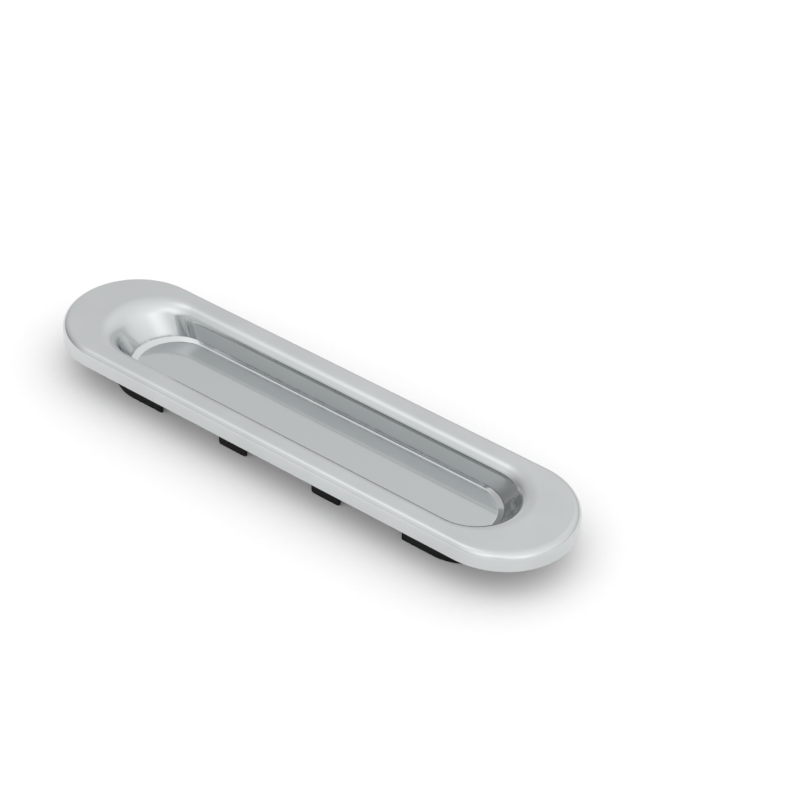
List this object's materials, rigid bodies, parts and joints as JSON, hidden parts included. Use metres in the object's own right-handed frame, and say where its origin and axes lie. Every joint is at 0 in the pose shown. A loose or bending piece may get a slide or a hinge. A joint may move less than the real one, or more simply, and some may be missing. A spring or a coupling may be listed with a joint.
{
  "type": "flush finger pull",
  "caption": "Flush finger pull for a sliding door: stadium-shaped bright cover with a rolled lip and dished recess, over a black moulded frame whose lugs drop into a slot.",
  "frame": {"origin": "centre of the handle on the plane of the door's surface, where the flange of the frame lies", "axes": "+X along the handle, +Y across it, +Z out of the door towards the hand"},
  "size_m": [0.153, 0.0378, 0.0136],
  "materials": {
    "chrome_plate": "bright polished chrome plate on pressed metal",
    "black_moulding": "black moulded plastic, low sheen"
  },
  "bodies": {
    "root": {"face_cover": "chrome_plate", "back_frame": "black_moulding"}
  },
  "joints": []
}
